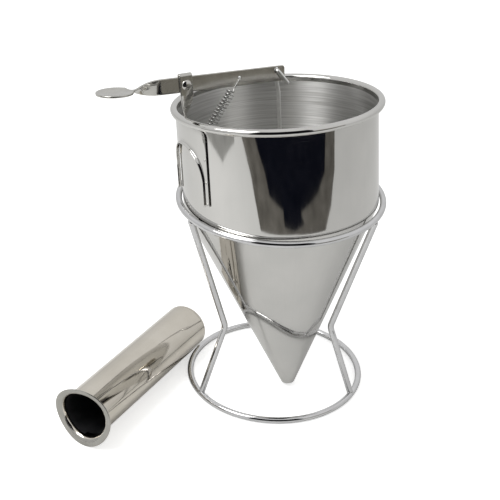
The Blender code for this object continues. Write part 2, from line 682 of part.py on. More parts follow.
def main():
    for item in list(bpy.data.objects):
        bpy.data.objects.remove(item)
    body_steel = steel("polished_steel", (0.62, 0.61, 0.59), 0.08)
    lever_steel = steel("lever_steel", (0.50, 0.49, 0.47), 0.16)
    rod_steel = steel("rod_steel", (0.58, 0.58, 0.57), 0.15)
    spring_steel = steel("spring_steel", (0.55, 0.55, 0.54), 0.20)
    chrome = steel("stand_chrome", (0.72, 0.72, 0.72), 0.05)
    handle_steel = steel("handle_steel", (0.66, 0.62, 0.56), 0.08)

    root = add_empty("dispenser", None, (0, 0, 0))
    lean_axis = Matrix.Rotation(LEAN_AZIMUTH, 3, "Z") @ Y_AXIS
    lean = Matrix.Rotation(FUNNEL_LEAN, 3, lean_axis)
    seat = add_empty("funnel_seat", root, (0, 0, SEAT_HEIGHT), lean)
    frame = add_empty("lever_frame", seat, (0, 0, 0), Matrix.Rotation(LEVER_AZIMUTH, 3, "Z"))
    tilt = Matrix.Rotation(-LEVER_TILT, 3, "Y")
    pivot = add_empty("lever_pivot", frame, (PIVOT_REACH, 0, PIVOT_HEIGHT), tilt)
    hook = add_empty("rod_hook", frame, (0, 0, ROD_HOLE_HEIGHT))

    build_stand(chrome, root)
    build_body(body_steel, seat)
    build_bracket(body_steel, frame)
    build_post(lever_steel, frame)
    build_rivet(lever_steel, pivot)
    build_lever(lever_steel, pivot, frame)
    build_spring(spring_steel, frame)
    build_staple(spring_steel, frame)
    build_rod(rod_steel, hook)
    build_plug(rod_steel, hook)
    build_handle(handle_steel, root)
    centre_on_base(root)


main()
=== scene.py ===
import math

import bmesh
import bpy
from mathutils import Matrix, Vector, noise


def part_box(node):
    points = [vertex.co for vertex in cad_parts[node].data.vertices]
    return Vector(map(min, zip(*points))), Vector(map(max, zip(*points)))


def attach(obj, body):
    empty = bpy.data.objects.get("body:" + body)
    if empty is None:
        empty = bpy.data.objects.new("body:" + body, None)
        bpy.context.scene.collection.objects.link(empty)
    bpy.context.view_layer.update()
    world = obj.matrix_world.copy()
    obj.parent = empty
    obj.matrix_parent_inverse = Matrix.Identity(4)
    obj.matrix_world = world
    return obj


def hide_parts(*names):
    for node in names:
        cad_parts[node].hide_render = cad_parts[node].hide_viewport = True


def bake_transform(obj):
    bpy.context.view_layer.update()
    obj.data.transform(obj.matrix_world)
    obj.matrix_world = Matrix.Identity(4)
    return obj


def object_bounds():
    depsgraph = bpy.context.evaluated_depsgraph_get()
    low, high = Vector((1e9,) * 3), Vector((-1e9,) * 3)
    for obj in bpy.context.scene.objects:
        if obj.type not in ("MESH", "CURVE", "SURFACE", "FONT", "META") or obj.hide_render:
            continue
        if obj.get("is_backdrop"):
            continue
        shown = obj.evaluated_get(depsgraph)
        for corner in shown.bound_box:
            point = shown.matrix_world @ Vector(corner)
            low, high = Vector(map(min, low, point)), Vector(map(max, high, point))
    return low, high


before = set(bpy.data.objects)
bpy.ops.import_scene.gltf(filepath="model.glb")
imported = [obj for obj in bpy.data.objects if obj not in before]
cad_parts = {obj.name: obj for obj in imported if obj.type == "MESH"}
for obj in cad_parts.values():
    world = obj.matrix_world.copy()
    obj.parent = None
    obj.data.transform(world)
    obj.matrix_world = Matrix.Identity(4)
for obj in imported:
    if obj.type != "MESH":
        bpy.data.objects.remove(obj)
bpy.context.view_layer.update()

xAxis = Vector((1, 0, 0))
yAxis = Vector((0, 1, 0))
zAxis = Vector((0, 0, 1))
scene = bpy.context.scene
mirrorSegments = 224   # round steps of the large mirror-like pieces
arcSteps = 12
sharpAngle = math.radians(38)   # edges steeper than this stay sharp
print("stage: packed part loaded")

# Sizes that several pieces share, as the part has them
shared = {
    "gap": 0.0003,
    "wire": 0.0025,
    "lean": math.radians(7.1),
    "leanAzimuth": math.radians(122.5),
    "leverAzimuth": math.radians(204.5),
    "leverTilt": math.radians(2.0),
    "leverSwing": math.radians(9.0),
    "bodyRadius": 0.0751,
    "wall": 0.0007,
    "rimHeight": 0.0738,
    "bead": 0.0028,
    "cornerDrop": 0.0049,
    "tipDrop": 0.1627,
    "tipRadius": 0.0054,
    "leverDepth": 0.0115,
    "leverThickness": 0.0015,
    "postThickness": 0.0012,
    "pivotInset": 0.0024,
    "pivotRise": 0.0248,
    "rodHoleRise": 0.0027,
    "rodRadius": 0.0015,
}
gap = shared["gap"]
innerRadius = shared["bodyRadius"] - shared["wall"]
coneSlope = (shared["bodyRadius"] - shared["tipRadius"]) / (shared["tipDrop"] - shared["cornerDrop"])
coneAngle = math.atan(coneSlope)
pivotReach = innerRadius - shared["pivotInset"]
pivotHeight = shared["rimHeight"] + shared["pivotRise"]
rodHoleHeight = pivotHeight - pivotReach * math.tan(shared["leverTilt"]) + shared["rodHoleRise"]
earOffset = (shared["leverThickness"] + shared["postThickness"]) / 2 + gap

# Frames of the leaning funnel and of its lever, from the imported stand
baseLow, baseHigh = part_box("stand_base_ring")
seatLow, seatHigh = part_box("stand_upper_ring")
standAxis = Vector(((baseLow.x + baseHigh.x) / 2, (baseLow.y + baseHigh.y) / 2, 0))
seatPoint = (seatLow + seatHigh) / 2
leanAxis = Matrix.Rotation(shared["leanAzimuth"], 3, "Z") @ yAxis
seatFrame = Matrix.Translation(seatPoint) @ Matrix.Rotation(shared["lean"], 4, leanAxis)
leverFrame = seatFrame @ Matrix.Rotation(shared["leverAzimuth"], 4, "Z")
pivotFrame = leverFrame @ Matrix.Translation((pivotReach, 0, pivotHeight)) @ Matrix.Rotation(-shared["leverTilt"], 4, "Y")
hookFrame = leverFrame @ Matrix.Translation((0, 0, rodHoleHeight))
standFrame = Matrix.Translation(standAxis)


def addNode(tree, kind, **values):
    node = tree.nodes.new(kind)
    for key, value in values.items():
        setattr(node, key, value)
    return node


def mathNode(tree, operation, first, second=None):
    node = addNode(tree, "ShaderNodeMath", operation=operation)
    for index, value in enumerate((first, second)):
        if value is None:
            continue
        if isinstance(value, bpy.types.NodeSocket):
            tree.links.new(value, node.inputs[index])
        else:
            node.inputs[index].default_value = value
    return node.outputs[0]


def rangeNode(tree, value, low, high):
    node = addNode(tree, "ShaderNodeMapRange")
    tree.links.new(value, node.inputs["Value"])
    node.inputs["From Min"].default_value = 0.3
    node.inputs["From Max"].default_value = 0.7
    node.inputs["To Min"].default_value = low
    node.inputs["To Max"].default_value = high
    return node.outputs["Result"]


def noiseNode(tree, vector, scale, detail=3.0):
    node = addNode(tree, "ShaderNodeTexNoise")
    tree.links.new(vector, node.inputs["Vector"])
    node.inputs["Scale"].default_value = scale
    node.inputs["Detail"].default_value = detail
    return node.outputs["Fac"]


def steel(name, look):
    # Polished metal: its tone, its haze and its fine lines all come from noise in the piece's own frame
    material = bpy.data.materials.new(name)
    material.use_nodes = True
    tree = material.node_tree
    shader = tree.nodes["Principled BSDF"]
    shader.inputs["Metallic"].default_value = 1
    grooves = look.get("anisotropy", 0)
    shader.inputs["Anisotropic"].default_value = grooves
    shader.inputs["Anisotropic Rotation"].default_value = 0.25 if grooves else 0   # the shine spreads across them
    place = addNode(tree, "ShaderNodeTexCoord").outputs["Object"]
    parts = addNode(tree, "ShaderNodeSeparateXYZ")
    tree.links.new(place, parts.inputs[0])
    turn = mathNode(tree, "ARCTAN2", parts.outputs["Y"], parts.outputs["X"])
    stretched = addNode(tree, "ShaderNodeCombineXYZ")
    around, along = look["grain"]
    tree.links.new(mathNode(tree, "MULTIPLY", turn, around), stretched.inputs["X"])
    tree.links.new(mathNode(tree, "MULTIPLY", parts.outputs["Z"], along), stretched.inputs["Y"])
    grain = noiseNode(tree, stretched.outputs[0], 1.0, 4.0)
    haze = noiseNode(tree, place, look["hazeScale"])
    tone = addNode(tree, "ShaderNodeMix", data_type="RGBA")
    lined = look.get("lined", 0.2)
    blotches = rangeNode(tree, haze, 0, 1 - lined)
    lines = rangeNode(tree, grain, 0, lined)
    tree.links.new(mathNode(tree, "ADD", blotches, lines), tone.inputs["Factor"])
    tone.inputs["A"].default_value = (*look["dark"], 1)
    tone.inputs["B"].default_value = (*look["light"], 1)
    tree.links.new(tone.outputs["Result"], shader.inputs["Base Color"])
    smooth, hazy = look["roughness"]
    hazed = rangeNode(tree, haze, smooth, hazy)
    scratched = rangeNode(tree, grain, 0, look["grainRoughness"])
    tree.links.new(mathNode(tree, "ADD", hazed, scratched), shader.inputs["Roughness"])
    bump = addNode(tree, "ShaderNodeBump")
    bump.inputs["Strength"].default_value = look["bump"]
    bump.inputs["Distance"].default_value = 0.0001
    tree.links.new(grain, bump.inputs["Height"])
    tree.links.new(bump.outputs["Normal"], shader.inputs["Normal"])
    if grooves:
        tangent = addNode(tree, "ShaderNodeTangent", direction_type="RADIAL", axis="Z")
        tree.links.new(tangent.outputs[0], shader.inputs["Tangent"])
    return material


looks = {
    "body": {"dark": (0.60, 0.595, 0.575), "light": (0.66, 0.65, 0.63), "roughness": (0.025, 0.05), "grain": (30, 25),
             "grainRoughness": 0.02, "hazeScale": 30, "bump": 0.02},
    # bore: the brushed inside wall; its fine lines are the steel's own grain, but its tone, raised above the outer
    # steel's, is painted light making up for light the inside wall lacks
    "bore": {"dark": (0.50, 0.495, 0.475), "light": (0.84, 0.835, 0.82), "roughness": (0.31, 0.37), "grain": (1.5, 800),
             "grainRoughness": 0.06, "hazeScale": 24, "bump": 0.5, "anisotropy": 0.95, "lined": 0.8},
    # lever steel, also on the post, the rivet and the weld dimples: its tone is set darker than the funnel's steel as
    # painted shade, darkening what it mirrors
    "lever": {"dark": (0.50, 0.49, 0.46), "light": (0.61, 0.60, 0.565), "roughness": (0.06, 0.12), "grain": (8, 900),
              "grainRoughness": 0.04, "hazeScale": 120, "bump": 0.06},
    # spring steel, also on the staple: its tone is set darker as painted shade, so the coil reads dark
    "spring": {"dark": (0.34, 0.34, 0.33), "light": (0.46, 0.46, 0.44), "roughness": (0.14, 0.24), "grain": (12, 500),
               "grainRoughness": 0.05, "hazeScale": 300, "bump": 0.05},
    # rod steel, also on the plug: its tone is raised as painted light, so the wire reads lighter
    "rod": {"dark": (0.74, 0.74, 0.72), "light": (0.86, 0.86, 0.84), "roughness": (0.26, 0.34), "grain": (10, 400),
            "grainRoughness": 0.05, "hazeScale": 180, "bump": 0.05},
    "chrome": {"dark": (0.60, 0.60, 0.605), "light": (0.70, 0.70, 0.705), "roughness": (0.03, 0.07), "grain": (10, 120),
               "grainRoughness": 0.02, "hazeScale": 80, "bump": 0.02},
    # handle steel: its warm beige tint is a painted reflection of warm surroundings, not the stainless steel's own
    # colour
    "handle": {"dark": (0.61, 0.57, 0.50), "light": (0.71, 0.67, 0.60), "roughness": (0.03, 0.07), "grain": (40, 16),
               "grainRoughness": 0.03, "hazeScale": 35, "bump": 0.03},
    # flange: the handle's own steel in a darker copy, its darker tone painted shade
    "flange": {"dark": (0.38, 0.37, 0.34), "light": (0.47, 0.46, 0.43), "roughness": (0.16, 0.24), "grain": (14, 300),
               "grainRoughness": 0.06, "hazeScale": 90, "bump": 0.06},
    # handle bore: the tube's same steel painted near-black, as painted shade inside the tube
    "handleBorePaintedShade": {"dark": (0.10, 0.10, 0.11), "light": (0.16, 0.16, 0.17), "roughness": (0.35, 0.45), "grain": (6, 300),
                   "grainRoughness": 0.08, "hazeScale": 60, "bump": 0.10},
}
metals = {name: steel(name + "Steel", look) for name, look in looks.items()}
print("stage: materials made")


def finishMesh(name, bm, metal, place):
    bmesh.ops.recalc_face_normals(bm, faces=bm.faces)
    mesh = bpy.data.meshes.new(name)
    bm.to_mesh(mesh)
    bm.free()
    mesh.shade_smooth()
    mesh.set_sharp_from_angle(angle=sharpAngle)
    for part in metal:
        mesh.materials.append(metals[part])
    piece = bpy.data.objects.new(name, mesh)
    scene.collection.objects.link(piece)
    piece.matrix_world = place
    return piece


def settle(piece, body, nodes):
    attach(piece, body)
    if nodes:
        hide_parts(*nodes)


def bakeModifiers(piece):
    bpy.context.view_layer.update()
    depsgraph = bpy.context.evaluated_depsgraph_get()
    mesh = bpy.data.meshes.new_from_object(piece.evaluated_get(depsgraph))
    piece.modifiers.clear()
    piece.data = mesh
    mesh.shade_smooth()
    mesh.set_sharp_from_angle(angle=sharpAngle)


def drill(piece, radius, place, depth, chamfer=0.0003):
    # A round hole along Y with its edges broken
    waist = depth / 2 - chamfer
    reach = depth + 2 * chamfer
    bm = bmesh.new()
    outline = [(0, -reach), (radius + reach - waist, -reach), (radius, -waist)]
    outline += [(distance, -height) for distance, height in outline[::-1]]
    spin(bm, outline, 48)
    cutter = finishMesh(piece.name + "Drill", bm, [], place @ Matrix.Rotation(math.pi / 2, 4, "X"))
    modifier = piece.modifiers.new("hole", "BOOLEAN")
    modifier.operation = "DIFFERENCE"
    modifier.object = cutter
    bakeModifiers(piece)
    bpy.data.objects.remove(cutter)


def spin(bm, outline, segments, closed=False):
    verts = [bm.verts.new((distance, 0, height)) for distance, height in outline]
    edges = [bm.edges.new(pair) for pair in zip(verts, verts[1:])]
    if closed:
        edges.append(bm.edges.new((verts[-1], verts[0])))
    bmesh.ops.spin(bm, geom=verts + edges, cent=(0, 0, 0), axis=zAxis, angle=math.tau, steps=segments, use_merge=True)
    bmesh.ops.remove_doubles(bm, verts=bm.verts, dist=0.000001)


def arc(centreX, centreY, radius, start, end, steps=arcSteps):
    points = []
    for step in range(steps + 1):
        angle = start + (end - start) * step / steps
        points.append((centreX + radius * math.cos(angle), centreY + radius * math.sin(angle)))
    return points


def ease(share):
    return share * share * (3 - 2 * share)


def facing(place, direction):
    # A frame at a place, its Z along a direction
    return Matrix.Translation(place) @ direction.to_track_quat("Z", "Y").to_matrix().to_4x4()


def loft(bm, rings):
    rows = [[bm.verts.new(point) for point in ring] for ring in rings]
    count = len(rows[0])
    for row, following in zip(rows, rows[1:]):
        for k in range(count):
            after = (k + 1) % count
            bm.faces.new((row[k], row[after], following[after], following[k]))
    bm.faces.new(rows[0])
    bm.faces.new(rows[-1])


def roundedPath(corners, radius, steps=arcSteps):
    path = [corners[0]]
    for before, corner, after in zip(corners, corners[1:], corners[2:]):
        back = (before - corner).normalized()
        onward = (after - corner).normalized()
        half = back.angle(onward) / 2
        centre = corner + (back + onward).normalized() * radius / math.sin(half)
        start = corner + back * radius / math.tan(half) - centre
        sweep = math.pi - 2 * half
        for step in range(steps + 1):
            path.append(centre + Matrix.Rotation(sweep * step / steps, 3, back.cross(-onward).normalized()) @ start)
    path.append(corners[-1])
    return path


def wire(bm, path, radius, sides=20, endRounding=0.5):
    # A round wire along a path, its ends rounded off, with a frame that doesn't twist
    tangents = []
    for k in range(len(path)):
        tangents.append((path[min(k + 1, len(path) - 1)] - path[max(k - 1, 0)]).normalized())
    side = tangents[0].orthogonal().normalized()
    cap = radius * endRounding
    starts = []
    ends = []
    for angle in (1.45, 1.1, 0.75, 0.4, 0):
        back = cap * (1 - math.sin(angle))
        starts.append((path[0] + tangents[0] * back, tangents[0], math.cos(angle) ** 0.5))
        ends.insert(0, (path[-1] - tangents[-1] * back, tangents[-1], math.cos(angle) ** 0.5))
    middle = [(point, tangent, 1) for point, tangent in zip(path[1:-1], tangents[1:-1])]
    rings = []
    for point, tangent, share in starts + middle + ends:
        side = (side - tangent * side.dot(tangent)).normalized()
        other = tangent.cross(side)
        ring = []
        for step in range(sides):
            angle = math.tau * step / sides
            ring.append(point + (side * math.cos(angle) + other * math.sin(angle)) * radius * share)
        rings.append(ring)
    loft(bm, rings)


def stripRing(centre, across, normal, halfWidth, thickness, columns=18):
    # One section of a sheet strip with rounded edges
    edge = min(thickness * 0.32, halfWidth * 0.6)
    flat = halfWidth - edge
    halfThick = thickness / 2
    points = []
    for side in (1, -1):
        for column in range(columns + 1):
            points.append((side * flat * (2 * column / columns - 1), side * halfThick))
        for step in range(1, 4):
            angle = math.pi / 2 * step / 4
            points.append((side * (flat + edge * math.sin(angle)), side * (halfThick - edge + edge * math.cos(angle))))
        for step in range(0, 4):
            angle = math.pi / 2 * step / 4
            points.append((side * (flat + edge * math.cos(angle)), -side * (halfThick - edge + edge * math.sin(angle))))
    return [centre + across * x + normal * y for x, y in points]


# Stand: two rings and three kinked legs, with small welds where they meet
stand = {
    "baseRadius": 0.0703,
    "kinkHeight": 0.0607,
    "kinkClearance": 0.0015,
    "legBend": 0.010,
    "legOutset": 0.0006,
    "legTopDrop": 0.0012,
    "legEndBack": 0.0010,
    "weldWidth": 1.04,
    "weldLength": 1.5,
    "weldOffset": 0.6,
    "firstLeg": math.radians(-149),
    "legs": {"Left": "stand_leg_front_left", "Right": "stand_leg_front_right", "Back": "stand_leg_back"},
}
upperRingRadius = (shared["bodyRadius"] + shared["wire"]) / math.cos(shared["lean"]) + gap


def buildRing(name, radius, place, node):
    bm = bmesh.new()
    spin(bm, arc(radius, 0, shared["wire"], 0, math.tau, 32)[:-1], mirrorSegments, closed=True)
    ring = finishMesh(name, bm, ["chrome"], place)
    settle(ring, "stand", [node])


def buildWeld(name, place, length):
    # A small smooth fillet of metal where a leg meets a ring
    bm = bmesh.new()
    bmesh.ops.create_uvsphere(bm, u_segments=32, v_segments=20, radius=1)
    for vert in bm.verts:
        swell = 1 + 0.05 * noise.noise(vert.co * 2.1 + place.translation * 90)
        across = shared["wire"] * stand["weldWidth"]
        vert.co = Vector((vert.co.x * across, vert.co.y * across, vert.co.z * length)) * swell
    weld = finishMesh(name, bm, ["chrome"], place)
    settle(weld, "stand", [])


buildRing("baseRingWire", stand["baseRadius"], standFrame @ Matrix.Translation((0, 0, shared["wire"])), "stand_base_ring")
buildRing("seatRingWire", upperRingRadius, Matrix.Translation(seatPoint), "stand_upper_ring")
kinkDrop = seatPoint.z - stand["kinkHeight"]
kinkRadius = (shared["tipRadius"] + (shared["tipDrop"] - kinkDrop) * coneSlope + kinkDrop * math.tan(shared["lean"])
              + shared["wire"] + stand["kinkClearance"])
legCorners = [
    Vector((stand["baseRadius"], 0, shared["wire"])),
    Vector((kinkRadius, 0, stand["kinkHeight"])),
    Vector((upperRingRadius + stand["legOutset"], 0, seatPoint.z - stand["legTopDrop"])),
]
legCorners[2] += (legCorners[1] - legCorners[2]).normalized() * stand["legEndBack"]   # its end stays under the ring
legPath = roundedPath(legCorners, stand["legBend"], 24)
for index, (side, node) in enumerate(stand["legs"].items()):
    legFrame = standFrame @ Matrix.Rotation(stand["firstLeg"] + math.tau * index / len(stand["legs"]), 4, "Z")
    bm = bmesh.new()
    wire(bm, legPath, shared["wire"], 28)
    leg = finishMesh("leg" + side + "Wire", bm, ["chrome"], legFrame)
    settle(leg, "stand", [node])
    for level, end, inward in (("Foot", legCorners[0], legCorners[1]), ("Head", legCorners[2], legCorners[1])):
        direction = (inward - end).normalized()
        centre = end + direction * shared["wire"] * stand["weldOffset"]
        buildWeld("weld" + side + level, legFrame @ facing(centre, direction), shared["wire"] * stand["weldLength"])
print("stage: stand built")

# Funnel: mirror outside with a slight ripple left by spinning, lined inside, a rolled rim
funnel = {
    "fillet": 0.008,
    "ripple": 0.000028,
    "rippleScale": 26,
}


def funnelOutline():
    shift = funnel["fillet"] * math.tan(coneAngle / 2)
    outerBottom = -shared["cornerDrop"] + shift
    innerFillet = funnel["fillet"] - shared["wall"]
    filletRadius = shared["bodyRadius"] - funnel["fillet"]
    innerTip = shared["tipRadius"] - shared["wall"] / math.cos(coneAngle)
    beadCentre = innerRadius + shared["bead"]
    join = math.acos((beadCentre - shared["bodyRadius"]) / shared["bead"])
    lip = 0.00015
    outerArc = arc(filletRadius, outerBottom, funnel["fillet"], -coneAngle, 0, 20)
    innerArc = arc(filletRadius, outerBottom, innerFillet, 0, -coneAngle, 20)
    bead = arc(beadCentre, shared["rimHeight"], shared["bead"], join - math.pi, math.pi, 36)
    tip = [(innerTip, -shared["tipDrop"] + lip), (innerTip + lip, -shared["tipDrop"]),
           (shared["tipRadius"] - lip, -shared["tipDrop"]), (shared["tipRadius"], -shared["tipDrop"] + lip)]
    outline = tip + stretch(tip[-1], outerArc[0], 40) + outerArc + stretch(outerArc[-1], bead[0], 36)
    outline += bead + stretch(bead[-1], innerArc[0], 30) + innerArc + stretch(innerArc[-1], tip[0], 30)
    return outline


def stretch(start, end, steps):
    # Points between two ends, without them
    points = []
    for step in range(1, steps):
        share = step / steps
        points.append((start[0] + (end[0] - start[0]) * share, start[1] + (end[1] - start[1]) * share))
    return points


bm = bmesh.new()
spin(bm, funnelOutline(), mirrorSegments, closed=True)
for vert in bm.verts:
    away = Vector((vert.co.x, vert.co.y, 0))
    share = min(1, away.length / shared["bodyRadius"])
    ripple = noise.noise(vert.co * funnel["rippleScale"]) + 0.4 * noise.noise(vert.co * funnel["rippleScale"] * 2.3)
    vert.co += away.normalized() * ripple * funnel["ripple"] * share
bmesh.ops.recalc_face_normals(bm, faces=bm.faces)
# inner faces below the bead take the bore steel, whose raised tone is painted light
for face in bm.faces:
    centre = face.calc_center_median()
    inward = face.normal.x * centre.x + face.normal.y * centre.y < 0
    if inward and centre.z < shared["rimHeight"] - shared["bead"] * 0.5:
        face.material_index = 1
shell = finishMesh("funnelShell", bm, ["body", "bore"], seatFrame)
settle(shell, "funnel", ["funnel_body"])
print("stage: funnel built")

# Bracket: a plate with a pressed arch, bevelled edges and four weld dimples beside the arch
bracket = {
    "thickness": 0.0010,
    "rimClearance": 0.0005,
    "corner": 0.006,
    "sideMargin": 0.0035,
    "topMargin": 0.0145,
    "sideLength": 0.0173,
    "lip": 0.0011,
    "rise": 0.0016,
    "joggle": 0.0007,
    "flangeRadius": 0.0247,
    "edgeBevel": 0.00025,
    "dotRadius": 0.0010,
    "dotEdge": 0.00008,
    "dotHeights": (0.0155, 0.0320, 0.0490, 0.0660),
    "dotSideways": 0.0268,
}
pocketRadius = bracket["flangeRadius"] + gap
bracketHalfWidth = pocketRadius + bracket["sideMargin"]
bracketTop = shared["rimHeight"] - shared["bead"] - bracket["rimClearance"]
archHeight = bracketTop - pocketRadius - bracket["topMargin"]
bracketBottom = archHeight - bracket["sideLength"]


def onWall(sideways, height, lift):
    angle = sideways / shared["bodyRadius"]
    radius = shared["bodyRadius"] + gap + lift
    return Vector((radius * math.cos(angle), radius * math.sin(angle), height))


def plateReach(angle):
    across = abs(math.cos(angle))
    up = math.sin(angle)
    height = bracketTop - archHeight
    corner = Vector((bracketHalfWidth - bracket["corner"], height - bracket["corner"]))
    if across * height > up * bracketHalfWidth:
        reach = bracketHalfWidth / across
    else:
        reach = height / up
    if reach * across > corner.x and reach * up > corner.y:
        along = Vector((across, up)).dot(corner)
        reach = along + math.sqrt(along ** 2 - corner.length_squared + bracket["corner"] ** 2)
    return reach


def bracketRing(direction, height, outerReach):
    lip = pocketRadius - bracket["lip"]
    foot = pocketRadius + bracket["joggle"]
    stops = [(lip, bracket["rise"]), (lip + bracket["lip"] * 0.5, bracket["rise"])]
    for step in range(9):
        share = step / 8
        reach = pocketRadius - bracket["joggle"] * 0.3 + (bracket["joggle"] * 1.5) * share
        stops.append((reach, bracket["rise"] * (1 - ease(share))))
    for step in range(1, 5):
        stops.append((foot + bracket["joggle"] * 0.2 + (outerReach - foot - bracket["joggle"] * 0.2) * step / 4, 0))
    front = []
    back = []
    for reach, lift in stops:
        sideways = reach * math.cos(direction)
        up = height + reach * math.sin(direction)
        front.append(onWall(sideways, up, lift + bracket["thickness"]))
        back.append(onWall(sideways, up, lift))
    return front + back[::-1]


bm = bmesh.new()
rings = []
for step in range(12):
    height = bracketBottom + (archHeight - bracketBottom) * step / 12
    rings.append(bracketRing(0, height, bracketHalfWidth))
for step in range(97):
    angle = math.pi * step / 96
    rings.append(bracketRing(angle, archHeight, plateReach(angle)))
for step in range(12):
    height = archHeight + (bracketBottom - archHeight) * (step + 1) / 12
    rings.append(bracketRing(math.pi, height, bracketHalfWidth))
loft(bm, rings)
plate = finishMesh("archBracket", bm, ["body"], leverFrame)
edges = plate.modifiers.new("edges", "BEVEL")
edges.width = bracket["edgeBevel"]
edges.segments = 3
edges.limit_method = "ANGLE"
edges.angle_limit = math.radians(50)
bakeModifiers(plate)
settle(plate, "funnel", ["handle_bracket"])
for number, height in enumerate(bracket["dotHeights"]):
    bm = bmesh.new()
    radius = bracket["dotRadius"]
    edge = bracket["dotEdge"]
    spin(bm, [(0, -0.00022), (radius * 0.45, -0.00016), (radius * 0.75, 0.00004), (radius * 0.9, 0.00005), (radius, -edge)], 32)
    normal = onWall(bracket["dotSideways"], height, bracket["thickness"])
    outward = Vector((normal.x, normal.y, 0)).normalized()
    seat = leverFrame @ facing(normal + outward * edge, outward)
    # the dimples take the lever steel, whose darker tone is painted shade
    dimple = finishMesh("weldDimple" + str(number + 1), bm, ["lever"], seat)
    settle(dimple, "funnel", [])
print("stage: bracket built")

# Lever strip: on edge past the pivot, twisted flat, ending in the dished thumb pad
lever = {
    "corner": 0.0018,
    "overhang": 0.0064,
    "twistStart": 0.0175,
    "twistEnd": 0.042,
    "twistEasing": 1.5,
    "padStart": 0.0403,
    "padRadius": 0.0135,
    "dishDepth": 0.0012,
    "padRim": 0.0015,
    "pivotHole": 0.0018,
    "rodHole": 0.0019,
    "springHole": 0.0013,
    "springReach": 0.030,
}
padCentre = lever["padStart"] + math.sqrt(lever["padRadius"] ** 2 - (shared["leverDepth"] / 2) ** 2)


def leverRings():
    half = shared["leverDepth"] / 2
    thick = shared["leverThickness"]
    innerEnd = -pivotReach - lever["overhang"]
    rings = []
    for x, height in arc(innerEnd + lever["corner"], half - lever["corner"], lever["corner"], math.pi, math.pi / 2):
        rings.append(stripRing(Vector((x, 0, 0)), zAxis, yAxis, height, thick))
    for step in range(1, 30):
        x = innerEnd + lever["corner"] + (lever["twistStart"] - innerEnd - lever["corner"]) * step / 30
        rings.append(stripRing(Vector((x, 0, 0)), zAxis, yAxis, half, thick))
    neck = lever["padStart"] - lever["twistStart"]
    sections = [(lever["twistStart"] + neck * step / 48, half) for step in range(48)]
    firstAngle = math.asin(half / lever["padRadius"])
    for step in range(80):
        angle = firstAngle + (math.pi - firstAngle) * step / 80
        halfWidth = max(lever["padRadius"] * math.sin(angle), 0.0006)
        sections.append((padCentre - lever["padRadius"] * math.cos(angle), halfWidth))
    for x, halfWidth in sections:
        share = min(1, (x - lever["twistStart"]) / (lever["twistEnd"] - lever["twistStart"]))
        turn = Matrix.Rotation(-share ** lever["twistEasing"] * math.pi / 2, 3, "X")
        rings.append(stripRing(Vector((x, 0, 0)), turn @ zAxis, turn @ yAxis, halfWidth, thick))
    return rings


def buildLever():
    rings = leverRings()
    dish = lever["padRadius"] - lever["padRim"]
    bm = bmesh.new()
    for ring in rings:
        for point in ring:
            away = math.hypot(point.x - padCentre, point.y) / dish
            if point.x > lever["padStart"] and away < 1:
                point.z -= lever["dishDepth"] * (1 - away ** 2)
    loft(bm, rings)
    strip = finishMesh("thumbLever", bm, ["lever"], pivotFrame)
    depth = shared["leverThickness"]
    drill(strip, lever["pivotHole"], leverFrame @ Matrix.Translation((pivotReach, 0, pivotHeight)), depth)
    drill(strip, lever["rodHole"], leverFrame @ Matrix.Translation((0, 0, rodHoleHeight)), depth)
    drill(strip, lever["springHole"], leverFrame @ Matrix.Translation(springHole), depth)
    settle(strip, "lever", ["lever"])


springHoleDrop = (pivotReach - lever["springReach"]) * math.tan(shared["leverTilt"])
springHole = Vector((lever["springReach"], 0, pivotHeight - springHoleDrop))
buildLever()

# Post: a strip folded over the lever, twisted a quarter turn down to its welded foot
post = {
    "width": 0.0098,
    "fold": 0.0012,
    "rearDrop": 0.0052,
    "twistDrop": 0.0072,
    "twistLength": 0.020,
    "twistEasing": 1.15,
    "footLength": 0.0204,
}


def buildPost():
    thick = shared["postThickness"]
    half = post["width"] / 2
    edge = shared["leverDepth"] / 2 + half * math.sin(shared["leverSwing"])
    top = pivotHeight + edge / math.cos(shared["leverSwing"]) + gap + thick / 2
    path = roundedPath([
        Vector((pivotReach, -earOffset, pivotHeight - post["rearDrop"])),
        Vector((pivotReach, -earOffset, top)),
        Vector((pivotReach, earOffset, top)),
        Vector((pivotReach, earOffset, pivotHeight - post["twistDrop"])),
    ], post["fold"])
    rings = []
    for k, point in enumerate(path):
        tangent = (path[min(k + 1, len(path) - 1)] - path[max(k - 1, 0)]).normalized()
        rings.append(stripRing(point, xAxis, tangent.cross(xAxis), half, thick))
    wallFace = math.sqrt(innerRadius ** 2 - half ** 2)
    footReach = wallFace - gap - thick / 2
    twistTop = path[-1]
    twistBottom = Vector((footReach, 0, twistTop.z - post["twistLength"]))
    for step in range(1, 49):
        share = step / 48
        point = twistTop.lerp(twistBottom, ease(share))
        point.z = twistTop.z + (twistBottom.z - twistTop.z) * share
        across = Matrix.Rotation(share ** post["twistEasing"] * math.pi / 2, 3, "Z") @ xAxis
        rings.append(stripRing(point, across, across.cross(zAxis), half, thick))
    for step in range(1, 13):
        foot = Vector((footReach, 0, twistBottom.z - post["footLength"] * step / 12))
        rings.append(stripRing(foot, yAxis, yAxis.cross(zAxis), half, thick))
    bm = bmesh.new()
    loft(bm, rings)
    strip = finishMesh("leverPostStrip", bm, ["lever"], leverFrame)
    drill(strip, lever["pivotHole"], leverFrame @ Matrix.Translation((pivotReach, 0, pivotHeight)), 2 * earOffset + thick)
    settle(strip, "funnel", ["lever_post"])


buildPost()

